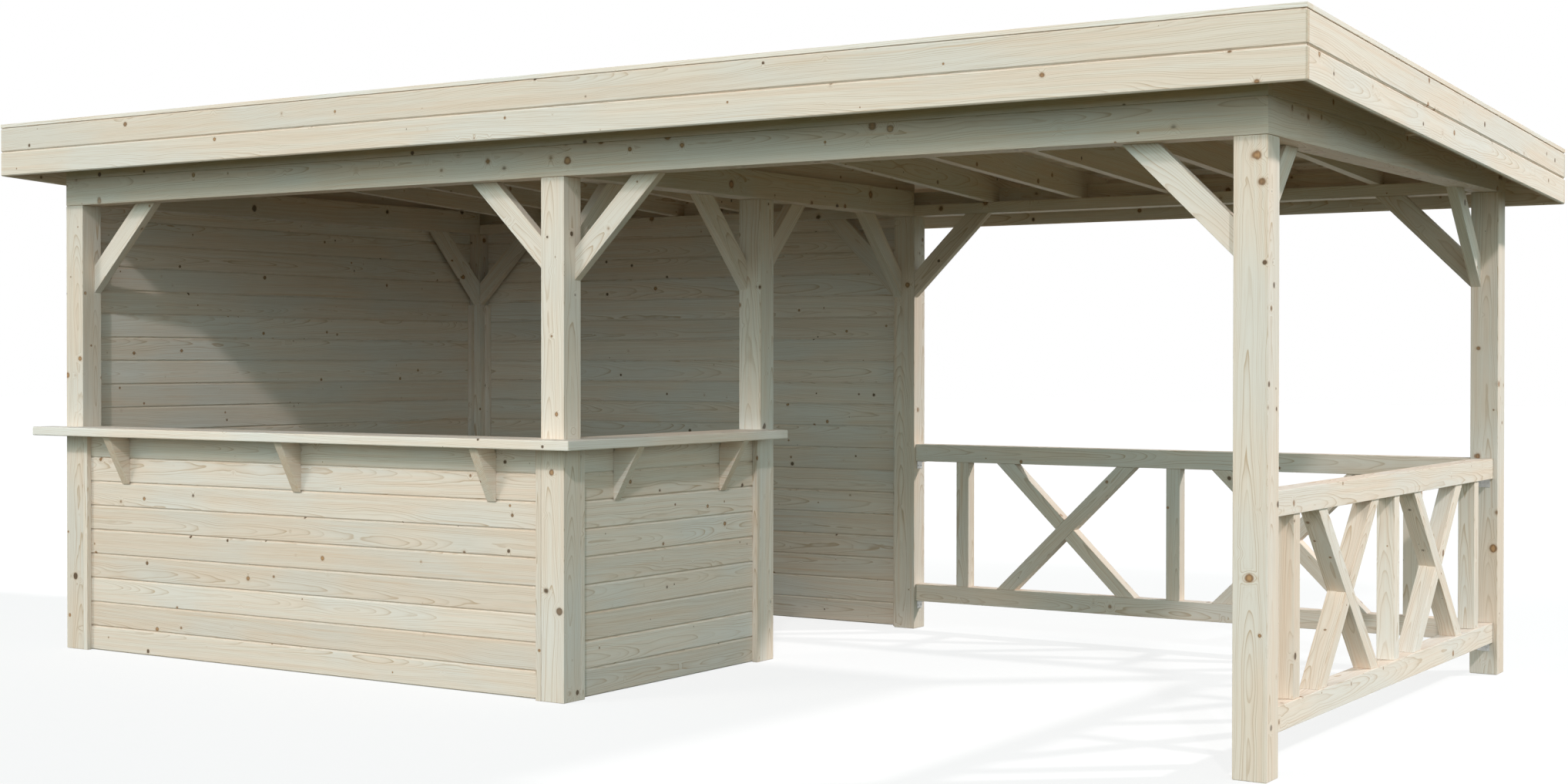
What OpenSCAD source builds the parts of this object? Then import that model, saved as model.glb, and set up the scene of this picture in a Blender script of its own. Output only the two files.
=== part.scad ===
// Flat-roofed wooden garden pavilion with a boarded bar corner and two crossed railings.
// Front is -Y, right is +X, ground is Z = 0, origin under the middle of the post plan.

/* [Posts and plan] */
// Side of the square posts
post = 120; // [100:1:160]
// Length of the plan over the outer faces of the posts
plan_l = 5990; // [4800:10:7200]
// Depth of the plan over the outer faces of the posts
plan_d = 3230; // [2700:10:4200]
// Height of the posts, ground to underside of beams
post_h = 2180; // [2000:5:2500]

/* [Beams and braces] */
// Height of the beams
beam_h = 130; // [100:1:180]
// Height of the ledge that the rafters sit on, above the back beam's underside
ledge_h = 57; // [45:1:75]
// Width of the back beam's upright part and of the riser board
upright_w = 45; // [35:1:60]
// Thickness of a knee brace
brace_t = 45; // [30:1:60]
// Width of a knee brace across its face
brace_w = 95; // [70:1:120]
// Outer leg of a knee brace along post and beam
brace_leg = 428; // [300:1:550]

/* [Roof] */
// Roof overhang past the posts at the left and right
over_x = 205; // [100:5:350]
// Roof overhang past the posts at the front and back
over_y = 235; // [120:5:350]
// Fall of the roof from front to back, in degrees
fall = 2.9; // [1.5:0.1:4]
// Height of a rafter
rafter_h = 130; // [100:1:160]
// Thickness of a rafter
rafter_t = 45; // [35:1:60]
// Rafters in each bay
rafter_n = 5; // [3:1:7]
// Thickness of the roof boards
deck_t = 19; // [15:1:28]
// Thickness of the fascia boards
fascia_t = 20; // [16:1:28]
// Height of the cap strip on the roof edge
cap_h = 18; // [12:1:28]
// Width of the cap strip
cap_w = 60; // [45:1:90]

/* [Boards and walls] */
// Cover width of one wall or fascia board
course = 118; // [95:1:145]
// Thickness of the wall boards
board_t = 19; // [15:1:28]
// Depth of the groove at each board joint
groove = 5; // [2:0.5:6]
// Side of the square battens that hold the walls
batten = 28; // [20:1:34]
// Gap between the ground and the lowest board
wall_lift = 2; // [1:1:20]

/* [Counter] */
// Height of the counter's top face
counter_z = 1094; // [950:1:1200]
// Thickness of the counter
counter_t = 42; // [30:1:60]
// Counter overhang past the front posts
counter_front_over = 130; // [60:1:200]
// Counter overhang past the side posts
counter_side_over = 118; // [60:1:200]
// Counter length past the left front post
counter_end_over = 100; // [20:1:160]
// Counter length past the front face of the middle post
counter_tail = 55; // [10:1:100]
// Thickness of a counter bracket
bracket_t = 45; // [30:1:60]
// Height of a counter bracket
bracket_h = 231; // [150:1:300]
// Reach of a counter bracket from the wall boards
bracket_reach = 135; // [90:1:150]
// Width of a counter bracket's lower end
bracket_tip = 8; // [4:1:40]
// Width of the cut at a bracket's upper back corner
bracket_cut_w = 14; // [6:1:30]
// Height of the cut at a bracket's upper back corner
bracket_cut_h = 26; // [10:1:60]
// Distance from a post to the middle of the nearest front bracket
bracket_in_front = 280; // [120:1:500]
// Distance from a post to the middle of the nearest side bracket
bracket_in_side = 296; // [120:1:450]

/* [Railings] */
// Height of the top rail's upper face
rail_z = 976; // [850:1:1100]
// Gap between the ground and the bottom rail
rail_lift = 146; // [80:1:220]
// Height of a rail
rail_h = 90; // [60:1:120]
// Thickness of a rail
rail_t = 84; // [70:1:90]
// Side of the square balusters
baluster = 70; // [45:1:70]
// Distance from a post to the middle of the first baluster
baluster_in = 268; // [150:1:400]
// Width of the crossed bars
cross_w = 70; // [50:1:110]
// Thickness of the crossed bars
cross_t = 70; // [45:1:70]
// Leg of the steel angles under the rail ends
angle_leg = 40; // [30:1:60]
// Width of the steel angles
angle_w = 55; // [40:1:65]
// Thickness of the steel angles
angle_t = 3; // [2:0.5:5]

/* [Hidden] */
hx = plan_l / 2;
hy = plan_d / 2;
hp = post / 2;
bay = hx - post - hp;
bay_mid = (hx - post + hp) / 2;
side_run = 2 * hy - 2 * post;
bar_run = hy - post - hp;
bar_mid = -(hy - post + hp) / 2;
beam_top = post_h + beam_h;
brace_in = brace_leg - brace_w * sqrt(2);
slope = tan(fall);
rx = hx + over_x;
ry = hy + over_y;
// Fascia boards are set a shadow gap apart
joint_gap = 2;
// Height at the middle of the plan of the rafters' lower face, the deck and the roof edge
raft_z = post_h + ledge_h + slope * (hy - post);
deck_z = raft_z + rafter_h;
edge_z = deck_z + deck_t;
wall_in = batten + board_t;
wall_top_bar = counter_z - counter_t;
rail_gap_lo = rail_lift + rail_h;
rail_gap_hi = rail_z - rail_h;
cross_rise = rail_gap_hi - rail_gap_lo;
cross_cut = cross_w * sqrt(2);
rail_in = (post - rail_t) / 2;

// Height of a roof plane at depth y, from its height over the middle of the plan
function roof_at(z, y) = z - slope * y;

module spruce() color([0.86, 0.76, 0.58]) children();

module post_at(x, y) spruce() translate([x, y, 0]) cube([post, post, post_h]);

module post_front_left() post_at(-hx, -hy);
module post_front_middle() post_at(-hp, -hy);
module post_front_right() post_at(hx - post, -hy);
module post_middle() post_at(-hp, -hp);
module post_back_left() post_at(-hx, hy - post);
module post_back_middle() post_at(-hp, hy - post);
module post_back_right() post_at(hx - post, hy - post);

// Extrudes a profile drawn in depth and height along X
module along_x(x, len) translate([x, 0, 0]) rotate([90, 0, 90]) linear_extrude(len) children();

// The front beam and the side beams meet in mitres over the front corner posts
module beam_front() spruce() translate([0, 0, post_h]) linear_extrude(beam_h) polygon([
  [-hx, -hy], [hx, -hy], [hx - post, -hy + post], [-hx + post, -hy + post]]);

// The back beam carries the rafters on a planed ledge in front of its upright part
module beam_back() spruce() along_x(-hx, plan_l) polygon([
  [hy - post, post_h], [hy, post_h], [hy, beam_top], [hy - upright_w, beam_top],
  [hy - upright_w, roof_at(raft_z, hy - upright_w)], [hy - post, roof_at(raft_z, hy - post)]]);

// The side beams stop at the back beam, on the right with d = 1 or on the left with d = -1
module side_beam(d) spruce() translate([0, 0, post_h]) linear_extrude(beam_h) polygon([
  [d * hx, -hy], [d * hx, hy - post], [d * (hx - post), hy - post], [d * (hx - post), -hy + post]]);
module beam_left() side_beam(-1);
module beam_right() side_beam(1);
module beam_middle() spruce() translate([-hp, -hy + post, post_h]) cube([post, side_run, beam_h]);

module brace_face() polygon([[0, -brace_leg], [brace_leg, 0], [brace_in, 0], [0, -brace_in]]);

// Braces that run along X away from a post face, to the right with d = 1 or to the left with d = -1
module brace_x(x, y, d) spruce() translate([x, y + brace_t, post_h]) scale([d, 1, 1])
  rotate([90, 0, 0]) linear_extrude(brace_t) brace_face();

// Braces that run along Y away from a post face, to the back with d = 1 or to the front with d = -1
module brace_y(x, y, d) spruce() translate([x, y, post_h]) scale([1, d, 1])
  rotate([90, 0, 90]) linear_extrude(brace_t) brace_face();

module braces_front() {
  y = -hy + post - brace_t;
  brace_x(-hx + post, y, 1);
  brace_x(-hp, y, -1);
  brace_x(hp, y, 1);
  brace_x(hx - post, y, -1);
}

module braces_back() {
  y = hy - post;
  brace_x(-hx + post, y, 1);
  brace_x(-hp, y, -1);
  brace_x(hp, y, 1);
  brace_x(hx - post, y, -1);
}

module braces_left() brace_y(-hx + post - brace_t, hy - post, -1);

module braces_middle() {
  brace_y(-hp, -hy + post, 1);
  brace_y(-hp, -hp, -1);
  brace_y(-hp, hp, 1);
  brace_y(-hp, hy - post, -1);
}

module braces_right() {
  brace_y(hx - post, -hy + post, 1);
  brace_y(hx - post, hy - post, -1);
}

// The riser lifts the rafters over the front beam to give the roof its fall
module roof_riser() spruce() along_x(-hx, plan_l) polygon([
  [-hy, beam_top], [-hy + upright_w, beam_top],
  [-hy + upright_w, roof_at(raft_z, -hy + upright_w)], [-hy, roof_at(raft_z, -hy)]]);

// Tapered boards close the space between the level cross beams and the sloping deck
module roof_wedge(x) spruce() along_x(x, rafter_t) polygon([
  [-hy + upright_w, beam_top], [hy - upright_w, beam_top],
  [hy - upright_w, roof_at(deck_z, hy - upright_w)], [-hy + upright_w, roof_at(deck_z, -hy + upright_w)]]);

module roof_wedges() {
  roof_wedge(-hx);
  roof_wedge(-rafter_t / 2);
  roof_wedge(hx - rafter_t);
}

// Rafters run from fascia to fascia and are notched over the back beam's upright part
module rafter(x) spruce() along_x(x - rafter_t / 2, rafter_t) polygon([
  [-ry + fascia_t, roof_at(raft_z, -ry + fascia_t)],
  [hy - upright_w, roof_at(raft_z, hy - upright_w)], [hy - upright_w, beam_top],
  [hy, beam_top], [hy, roof_at(raft_z, hy)],
  [ry - fascia_t, roof_at(raft_z, ry - fascia_t)], [ry - fascia_t, roof_at(deck_z, ry - fascia_t)],
  [-ry + fascia_t, roof_at(deck_z, -ry + fascia_t)]]);

module rafters() {
  pitch = (hx - hp) / (rafter_n + 1);
  for (s = [-1, 1], i = [1 : rafter_n]) rafter(s * pitch * i);
}

// Noggings on the middle line carry the side overhangs, from the tapered boards out to the fascia
module overhang_noggings() spruce() for (x = [-rx + fascia_t, hx]) along_x(x, over_x - fascia_t) polygon([
  [0, beam_top], [rafter_t, beam_top], [rafter_t, roof_at(deck_z, rafter_t)], [0, deck_z]]);

// A strip of the roof between two depths, from one height over the middle of the plan to another
module roof_band(y0, y1, z0, z1) polygon([
  [y0, roof_at(z0, y0)], [y1, roof_at(z0, y1)], [y1, roof_at(z1, y1)], [y0, roof_at(z1, y0)]]);

module roof_deck() spruce() along_x(-rx + fascia_t, 2 * (rx - fascia_t))
  roof_band(-ry + fascia_t, ry - fascia_t, deck_z, edge_z);

// Two boards, one above the other
module fascia_boards(y0, y1) {
  roof_band(y0, y1, edge_z - course, edge_z);
  roof_band(y0, y1, edge_z - 2 * course, edge_z - course - joint_gap);
}

module fascia_front() spruce() along_x(-rx, 2 * rx) fascia_boards(-ry, -ry + fascia_t);
module fascia_back() spruce() along_x(-rx, 2 * rx) fascia_boards(ry - fascia_t, ry);
module fascia_left() spruce() along_x(-rx, fascia_t) fascia_boards(-ry + fascia_t, ry - fascia_t);
module fascia_right() spruce() along_x(rx - fascia_t, fascia_t) fascia_boards(-ry + fascia_t, ry - fascia_t);

module cap_strips_long() spruce() along_x(-rx, 2 * rx) {
  roof_band(-ry, -ry + cap_w, edge_z, edge_z + cap_h);
  roof_band(ry - cap_w, ry, edge_z, edge_z + cap_h);
}

module cap_strips_side() spruce() for (x = [-rx, rx - cap_w])
  along_x(x, cap_w) roof_band(-ry + cap_w, ry - cap_w, edge_z, edge_z + cap_h);

// Wall section: boards with a V at each joint and a chamfered foot on both faces, drawn in depth and height
module wall_section(top) {
  zs = [for (z = [course : course : top - 2 * groove]) z];
  polygon(concat([[groove, wall_lift], [0, wall_lift + groove]],
    [for (z = zs, k = [-1 : 1]) [k == 0 ? groove : 0, z + k * groove]],
    [[0, top], [board_t, top]],
    [for (i = [len(zs) - 1 : -1 : 0], k = [1 : -1 : -1])
      [board_t - (k == 0 ? groove : 0), zs[i] + k * groove]],
    [[board_t, wall_lift + groove], [board_t - groove, wall_lift]]));
}

// Walls stand one batten in from the outer faces of the posts
module wall_left() spruce() translate([-hx + wall_in, -hy + post, 0])
  rotate([90, 0, 180]) linear_extrude(side_run) wall_section(post_h);
module wall_back() spruce() translate([0, hy - wall_in, 0]) along_x(-hx + post, bay) wall_section(post_h);
module wall_bar_front() spruce() translate([0, -hy + batten, 0])
  along_x(-hx + post, bay) wall_section(wall_top_bar);
module wall_bar_side() spruce() translate([hp - batten, -hy + post, 0])
  rotate([90, 0, 180]) linear_extrude(bar_run) wall_section(wall_top_bar);

module stick(x, y, h) translate([x, y, 0]) cube([batten, batten, h]);

// Battens hold each wall's ends on both faces, and the inner ones of the high walls stop at the braces
module wall_battens() spruce() {
  for (x = [-hx + post, -hp - batten]) {
    stick(x, -hy, wall_top_bar);
    stick(x, -hy + wall_in, wall_top_bar);
    stick(x, hy - batten, post_h);
    stick(x, hy - wall_in - batten, post_h - brace_leg);
  }
  for (y = [-hy + post, hy - post - batten]) {
    stick(-hx, y, post_h);
    stick(-hx + wall_in, y, post_h - brace_leg);
  }
  for (y = [-hy + post, -hp - batten]) {
    stick(hp - batten, y, wall_top_bar);
    stick(hp - wall_in - batten, y, wall_top_bar);
  }
}

// The two counter runs meet in a mitre at the corner post
module counter_front() spruce() translate([0, 0, counter_z - counter_t]) linear_extrude(counter_t) polygon([
  [-hx - counter_end_over, -hy - counter_front_over], [hp + counter_side_over, -hy - counter_front_over],
  [hp, -hy], [-hp, -hy], [-hp, -hy + post], [-hx + post, -hy + post], [-hx + post, -hy],
  [-hx - counter_end_over, -hy]]);
module counter_side() spruce() translate([0, 0, counter_z - counter_t]) linear_extrude(counter_t) polygon([
  [hp + counter_side_over, -hy - counter_front_over], [hp + counter_side_over, -hp + counter_tail],
  [hp, -hp + counter_tail], [hp, -hp], [-hp, -hp], [-hp, -hy + post], [hp, -hy + post], [hp, -hy]]);

// Bracket face drawn outward from the wall boards and up to the counter
module bracket_face() polygon([[0, 0], [bracket_tip, 0], [bracket_reach, bracket_h],
  [bracket_cut_w, bracket_h], [0, bracket_h - bracket_cut_h]]);

module counter_brackets() spruce() translate([0, 0, wall_top_bar - bracket_h]) {
  for (k = [-1 : 1]) translate([-bay_mid + k * (bay / 2 - bracket_in_front) - bracket_t / 2, -hy + batten, 0])
    rotate([90, 0, 90]) linear_extrude(bracket_t) scale([-1, 1]) bracket_face();
  for (k = [-1, 1]) translate([hp - batten, bar_mid + k * (bar_run / 2 - bracket_in_side) + bracket_t / 2, 0])
    rotate([90, 0, 0]) linear_extrude(bracket_t) bracket_face();
}

// Railing pieces drawn along X from one post to the next, with the outer face of the posts at Y = 0
module rails(len) for (z = [rail_lift, rail_z - rail_h])
  translate([0, rail_in, z]) cube([len, rail_t, rail_h]);
module balusters(len) for (x = [baluster_in, len / 2, len - baluster_in])
  translate([x - baluster / 2, hp - baluster / 2, rail_gap_lo]) cube([baluster, baluster, cross_rise]);
module cross_bar(d) polygon([
  [-d * cross_rise / 2 - cross_cut / 2, 0], [-d * cross_rise / 2 + cross_cut / 2, 0],
  [d * cross_rise / 2 + cross_cut / 2, cross_rise], [d * cross_rise / 2 - cross_cut / 2, cross_rise]]);
// One bar of each cross, rising with d = 1 or falling with d = -1, halved where the other bar passes
module crosses(len, d) for (x = [(baluster_in + len / 2) / 2, len - (baluster_in + len / 2) / 2])
  translate([x, hp, rail_gap_lo]) rotate([90, 0, 0]) difference() {
    linear_extrude(cross_t, center = true) cross_bar(d);
    translate([0, 0, d * cross_t / 2]) linear_extrude(cross_t, center = true) cross_bar(-d);
  }
module angle_pair(len, z) {
  for (s = [0, 1]) translate([s * len, hp + angle_w / 2, z]) scale([1 - 2 * s, 1, 1]) rotate([90, 0, 0])
    linear_extrude(angle_w) polygon([[0, 0], [angle_leg, 0], [angle_leg, -angle_t], [angle_t, -angle_t],
      [angle_t, -angle_leg], [0, -angle_leg]]);
}
module angles(len) {
  angle_pair(len, rail_lift);
  angle_pair(len, rail_z - rail_h);
}

module to_back() translate([hp, hy, 0]) scale([1, -1, 1]) children();
module to_right() translate([hx, -hy + post, 0]) rotate([0, 0, 90]) children();

module railing_back_rails() spruce() to_back() rails(bay);
module railing_back_balusters() spruce() to_back() balusters(bay);
module railing_back_rising_bars() spruce() to_back() crosses(bay, 1);
module railing_back_falling_bars() spruce() to_back() crosses(bay, -1);
module railing_right_rails() spruce() to_right() rails(side_run);
module railing_right_balusters() spruce() to_right() balusters(side_run);
module railing_right_rising_bars() spruce() to_right() crosses(side_run, 1);
module railing_right_falling_bars() spruce() to_right() crosses(side_run, -1);
module railing_angles() color([0.68, 0.70, 0.72]) {
  to_back() angles(bay);
  to_right() angles(side_run);
}

post_front_left();
post_front_middle();
post_front_right();
post_middle();
post_back_left();
post_back_middle();
post_back_right();
beam_front();
beam_back();
beam_left();
beam_right();
beam_middle();
braces_front();
braces_back();
braces_left();
braces_middle();
braces_right();
roof_riser();
roof_wedges();
rafters();
overhang_noggings();
roof_deck();
fascia_front();
fascia_back();
fascia_left();
fascia_right();
cap_strips_long();
cap_strips_side();
wall_left();
wall_back();
wall_bar_front();
wall_bar_side();
wall_battens();
counter_front();
counter_side();
counter_brackets();
railing_back_rails();
railing_back_balusters();
railing_back_rising_bars();
railing_back_falling_bars();
railing_right_rails();
railing_right_balusters();
railing_right_rising_bars();
railing_right_falling_bars();
railing_angles();
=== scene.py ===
import math
import random

import bpy
import numpy as np
from mathutils import Matrix, Vector


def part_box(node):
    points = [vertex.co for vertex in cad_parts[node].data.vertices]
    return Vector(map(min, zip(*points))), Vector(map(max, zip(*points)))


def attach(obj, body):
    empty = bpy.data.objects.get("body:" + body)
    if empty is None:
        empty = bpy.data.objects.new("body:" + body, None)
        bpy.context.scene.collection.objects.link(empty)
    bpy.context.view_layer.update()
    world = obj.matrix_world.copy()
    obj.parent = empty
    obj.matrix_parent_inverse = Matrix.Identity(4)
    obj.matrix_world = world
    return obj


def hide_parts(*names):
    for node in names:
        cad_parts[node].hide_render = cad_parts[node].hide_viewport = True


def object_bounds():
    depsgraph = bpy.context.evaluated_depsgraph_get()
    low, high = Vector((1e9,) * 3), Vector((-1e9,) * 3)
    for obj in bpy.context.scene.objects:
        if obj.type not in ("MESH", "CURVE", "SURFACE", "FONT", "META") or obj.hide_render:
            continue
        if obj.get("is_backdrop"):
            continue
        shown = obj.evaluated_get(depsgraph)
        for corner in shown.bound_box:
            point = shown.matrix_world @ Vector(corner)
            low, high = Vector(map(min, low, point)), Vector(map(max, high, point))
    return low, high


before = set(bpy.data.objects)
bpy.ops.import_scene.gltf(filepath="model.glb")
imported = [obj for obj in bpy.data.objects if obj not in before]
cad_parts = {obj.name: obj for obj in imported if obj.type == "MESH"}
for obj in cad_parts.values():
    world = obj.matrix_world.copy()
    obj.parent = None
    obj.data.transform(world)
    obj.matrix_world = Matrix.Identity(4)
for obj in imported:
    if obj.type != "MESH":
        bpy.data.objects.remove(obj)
cad_low, cad_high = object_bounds()

# Posts: seven square sticks of planed spruce stand on the ground and carry the beams.
# Each is one length, sawn square at both ends, with its long edges eased by the planer.
POST_EASE, POST_KNOTS = 0.0045, 1.25
POSTS = {"front_left_post": "post_front_left", "front_middle_post": "post_front_middle",
         "front_right_post": "post_front_right", "middle_post": "post_middle",
         "back_left_post": "post_back_left", "back_middle_post": "post_back_middle",
         "back_right_post": "post_back_right"}
ARRIS, ROUNDED = math.radians(30), math.radians(32)
lot = random.Random(41)


def palette(finish):
    """Returns a call that adds a node to a finish, with its sockets linked or set."""
    tree = finish.node_tree

    def add(kind, sockets=(), **settings):
        made = tree.nodes.new("ShaderNode" + kind)
        for name, value in settings.items():
            setattr(made, name, value)
        for socket, value in dict(sockets).items():
            if isinstance(value, bpy.types.NodeSocket):
                tree.links.new(value, made.inputs[socket])
            else:
                made.inputs[socket].default_value = value
        return made

    return add


def new_finish(name):
    """An empty finish, ready for its nodes."""
    finish = bpy.data.materials.new(name)
    finish.use_nodes = True
    finish.node_tree.nodes.clear()
    return finish


def planed_spruce():
    """Pale spruce cut out of a log: rings round a wandering heart, fibres along the stick, and knots."""
    pale, warm, cool = (0.805, 0.705, 0.620, 1), (0.79, 0.650, 0.545, 1), (0.76, 0.697, 0.640, 1)
    late, resin = (0.49, 0.325, 0.190, 1), (0.68, 0.43, 0.24, 1)
    knot_brown, knot_rim = (0.46, 0.245, 0.105, 1), (0.24, 0.120, 0.050, 1)
    knot_dark, end_tint = (0.10, 0.055, 0.026, 1), (0.93, 0.89, 0.83, 1)
    light_cast, dark_cast = (1.09, 1.10, 1.105, 1), (0.93, 0.895, 0.855, 1)
    rings_per_metre, ring_spread, taper = 190, 80.0, 0.022
    heart_drift, ring_jitter = 0.055, 0.0034
    knots_per_metre, knot_least, knot_more = 12.0, 0.0014, 0.0125
    finish = new_finish("planed_spruce")
    add = palette(finish)

    def reckon(operation, a, b=0.0, c=0.0):
        return add("Math", {0: a, 1: b, 2: c}, operation=operation).outputs[0]

    def vector(operation, a, b):
        return add("VectorMath", {0: a, 1: b}, operation=operation).outputs[0]

    def ramp(value, low, high, to_low=0.0, to_high=1.0):
        return add("MapRange", {0: value, 1: low, 2: high, 3: to_low, 4: to_high},
                   interpolation_type="SMOOTHSTEP").outputs[0]

    def noise(scale, detail, roughness=0.5):
        return add("TexNoise", {"Vector": vector("MULTIPLY", grain, scale), "Scale": 1.0,
                                "Detail": detail, "Roughness": roughness})

    def blend(share, under, over, mode="MIX"):
        return add("Mix", {0: share, 6: under, 7: over}, data_type="RGBA", blend_type=mode).outputs[2]

    grain = add("Attribute", attribute_name="grain").outputs["Vector"]
    tone = add("Attribute", attribute_name="tone").outputs["Fac"]
    knotty = add("Attribute", attribute_name="knotty").outputs["Fac"]
    end_wood = add("Attribute", attribute_name="end_wood").outputs["Fac"]
    ripple = noise((9.0, 42.0, 42.0), 1.0).outputs["Color"]
    ripples = add("SeparateColor", {0: ripple})

    # Knots are the round hearts of branches, most of them small, each of its own size and darkness
    cells = add("TexVoronoi", {"Vector": grain, "Scale": knots_per_metre}, feature="F1")
    chance = add("SeparateColor", {0: cells.outputs["Color"]})
    reach = reckon("DIVIDE", cells.outputs["Distance"], knots_per_metre)
    size = reckon("MULTIPLY_ADD", reckon("POWER", chance.outputs[0], 2.2), knot_more, knot_least)
    size = reckon("MULTIPLY", size, knotty)
    uneven = reckon("MULTIPLY_ADD", ripples.outputs[0], 0.9, -0.45)
    ratio = reckon("ADD", reckon("DIVIDE", reach, size), uneven)
    knot = ramp(ratio, 1.22, 0.78)
    halo = ramp(ratio, 1.7, 1.0)
    bulge = reckon("MULTIPLY", ramp(ratio, 2.8, 0.8), reckon("MULTIPLY", size, 0.9))

    # Growth rings: the distance from the heart, which wanders along the log and swells round the knots
    wander, mean = noise((1.4, 4.5, 4.5), 2.0, 0.4).outputs["Color"], (0.5, 0.5, 0.5)
    drift = vector("MULTIPLY", vector("SUBTRACT", wander, mean), (0.0, heart_drift, heart_drift))
    jitter = vector("MULTIPLY", vector("SUBTRACT", ripple, mean), (0.0, ring_jitter, ring_jitter))
    in_log = vector("MULTIPLY", vector("ADD", vector("ADD", grain, drift), jitter), (0.0, 1.0, 1.0))
    radius = add("VectorMath", {0: in_log}, operation="LENGTH").outputs["Value"]
    up_log = add("SeparateXYZ", {0: grain}).outputs["X"]
    radius = reckon("MULTIPLY_ADD", up_log, taper, reckon("ADD", radius, bulge))
    density = reckon("MULTIPLY_ADD", tone, ring_spread, rings_per_metre - ring_spread / 2)
    rings = reckon("MULTIPLY", radius, density)
    years = add("TexNoise", {"W": rings, "Scale": 0.45, "Detail": 1.0},
                noise_dimensions="1D").outputs["Fac"]
    season = reckon("FRACT", rings)
    summer = reckon("MULTIPLY", ramp(season, 0.74, 0.94), 0.70)
    summer = reckon("MULTIPLY_ADD", ramp(season, 0.25, 0.90), 0.30, summer)
    line = reckon("MULTIPLY", summer, ramp(season, 1.0, 0.95))
    line = reckon("MULTIPLY", line, ramp(years, 0.30, 0.68, 0.12, 1.0))

    # Fibres, broad streaks and the lighter or darker cast of each stick
    fibre = noise((6.0, 330.0, 330.0), 1.0, 0.6).outputs["Fac"]
    streaks = add("SeparateColor", {0: noise((0.9, 60.0, 60.0), 3.0, 0.6).outputs["Color"]})
    patches = add("SeparateColor", {0: wander})
    wood = blend(ramp(streaks.outputs[0], 0.36, 0.66), pale, warm)
    wood = blend(ramp(patches.outputs[0], 0.42, 0.66), wood, cool)
    wood = blend(reckon("MULTIPLY", line, 0.74), wood, late)
    wood = blend(ramp(fibre, 0.50, 0.80, 0.0, 0.22), wood, late)
    red = reckon("MULTIPLY", ramp(streaks.outputs[1], 0.56, 0.74), ramp(tone, 0.25, 1.0, 0.04, 0.42))
    wood = blend(red, wood, resin)
    wood = blend(1.0, wood, blend(tone, light_cast, dark_cast), "MULTIPLY")

    # Knot colours, from a pale branch with a dark rim to a dead black one
    rays = ramp(fibre, 0.35, 0.65, 0.0, 0.35)
    heart = blend(ramp(reckon("ADD", ratio, rays), 0.45, 1.0), knot_brown, knot_rim)
    heart = blend(ramp(chance.outputs[1], 0.45, 0.70), heart, knot_dark)
    stained = reckon("MULTIPLY", halo, ramp(chance.outputs[2], 0.0, 1.0, 0.10, 0.36))
    wood = blend(stained, wood, knot_brown)
    covered = reckon("MULTIPLY", knot, ramp(chance.outputs[2], 0.0, 0.5, 0.72, 0.95))
    wood = blend(covered, wood, heart)
    wood = blend(end_wood, wood, blend(1.0, wood, end_tint, "MULTIPLY"))

    surface = add("Bump", {"Strength": 0.35, "Distance": 0.0007, "Height": fibre})
    gloss = reckon("ADD", ramp(fibre, 0.2, 0.8, 0.56, 0.68), reckon("MULTIPLY", knot, -0.10))
    shader = add("BsdfPrincipled", {"Base Color": wood, "Roughness": gloss, "Normal": surface.outputs[0],
                                    "Specular IOR Level": 0.28})
    add("OutputMaterial", {"Surface": shader.outputs[0]})
    return finish


spruce = planed_spruce()


def on_bench(*pieces):
    """Only these pieces are selected, and the first is the one worked on."""
    bpy.ops.object.select_all(action="DESELECT")
    for piece in pieces:
        piece.select_set(True)
    bpy.context.view_layer.objects.active = pieces[0]


def stick(length, width, thick):
    """A squared stick on the bench: length along X from the origin, width along Y, thickness along Z."""
    bpy.ops.object.select_all(action="DESELECT")
    bpy.ops.mesh.primitive_cube_add(size=1, location=(length / 2, 0, 0), scale=(length, width, thick))
    bpy.ops.object.transform_apply(location=True, rotation=True, scale=True)
    return bpy.context.object


def ease(piece, radius, steps=2, along=(1, 0, 0)):
    """Rounds the arrises that run one way, as a planer does, and leaves the sawn ends square."""
    on_bench(piece)
    bpy.ops.object.mode_set(mode="EDIT")
    bpy.ops.mesh.select_mode(type="EDGE")
    bpy.ops.mesh.select_all(action="DESELECT")
    bpy.ops.mesh.edges_select_sharp(sharpness=ARRIS)
    bpy.ops.object.mode_set(mode="OBJECT")
    points, way = piece.data.vertices, Vector(along).normalized()
    for edge in piece.data.edges:
        run = (points[edge.vertices[1]].co - points[edge.vertices[0]].co).normalized()
        edge.select = edge.select and abs(run.dot(way)) > 0.99
    bpy.ops.object.mode_set(mode="EDIT")
    bpy.ops.mesh.bevel(offset=radius, segments=steps, affect="EDGES")
    bpy.ops.object.mode_set(mode="OBJECT")
    return piece


def twin(piece):
    """A second stick of the same make, with its own mesh."""
    on_bench(piece)
    bpy.ops.object.duplicate()
    return bpy.context.object


def set_down(piece, at, along, across):
    """Takes a stick to its place: where its origin goes, and the ways its length and width run."""
    x, y = Vector(along).normalized(), Vector(across).normalized()
    turn = Matrix((x, y, x.cross(y))).transposed().to_4x4()
    piece.matrix_world = Matrix.Translation(at) @ turn
    on_bench(piece)
    bpy.ops.object.transform_apply(location=True, rotation=True, scale=True)
    return piece


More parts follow.
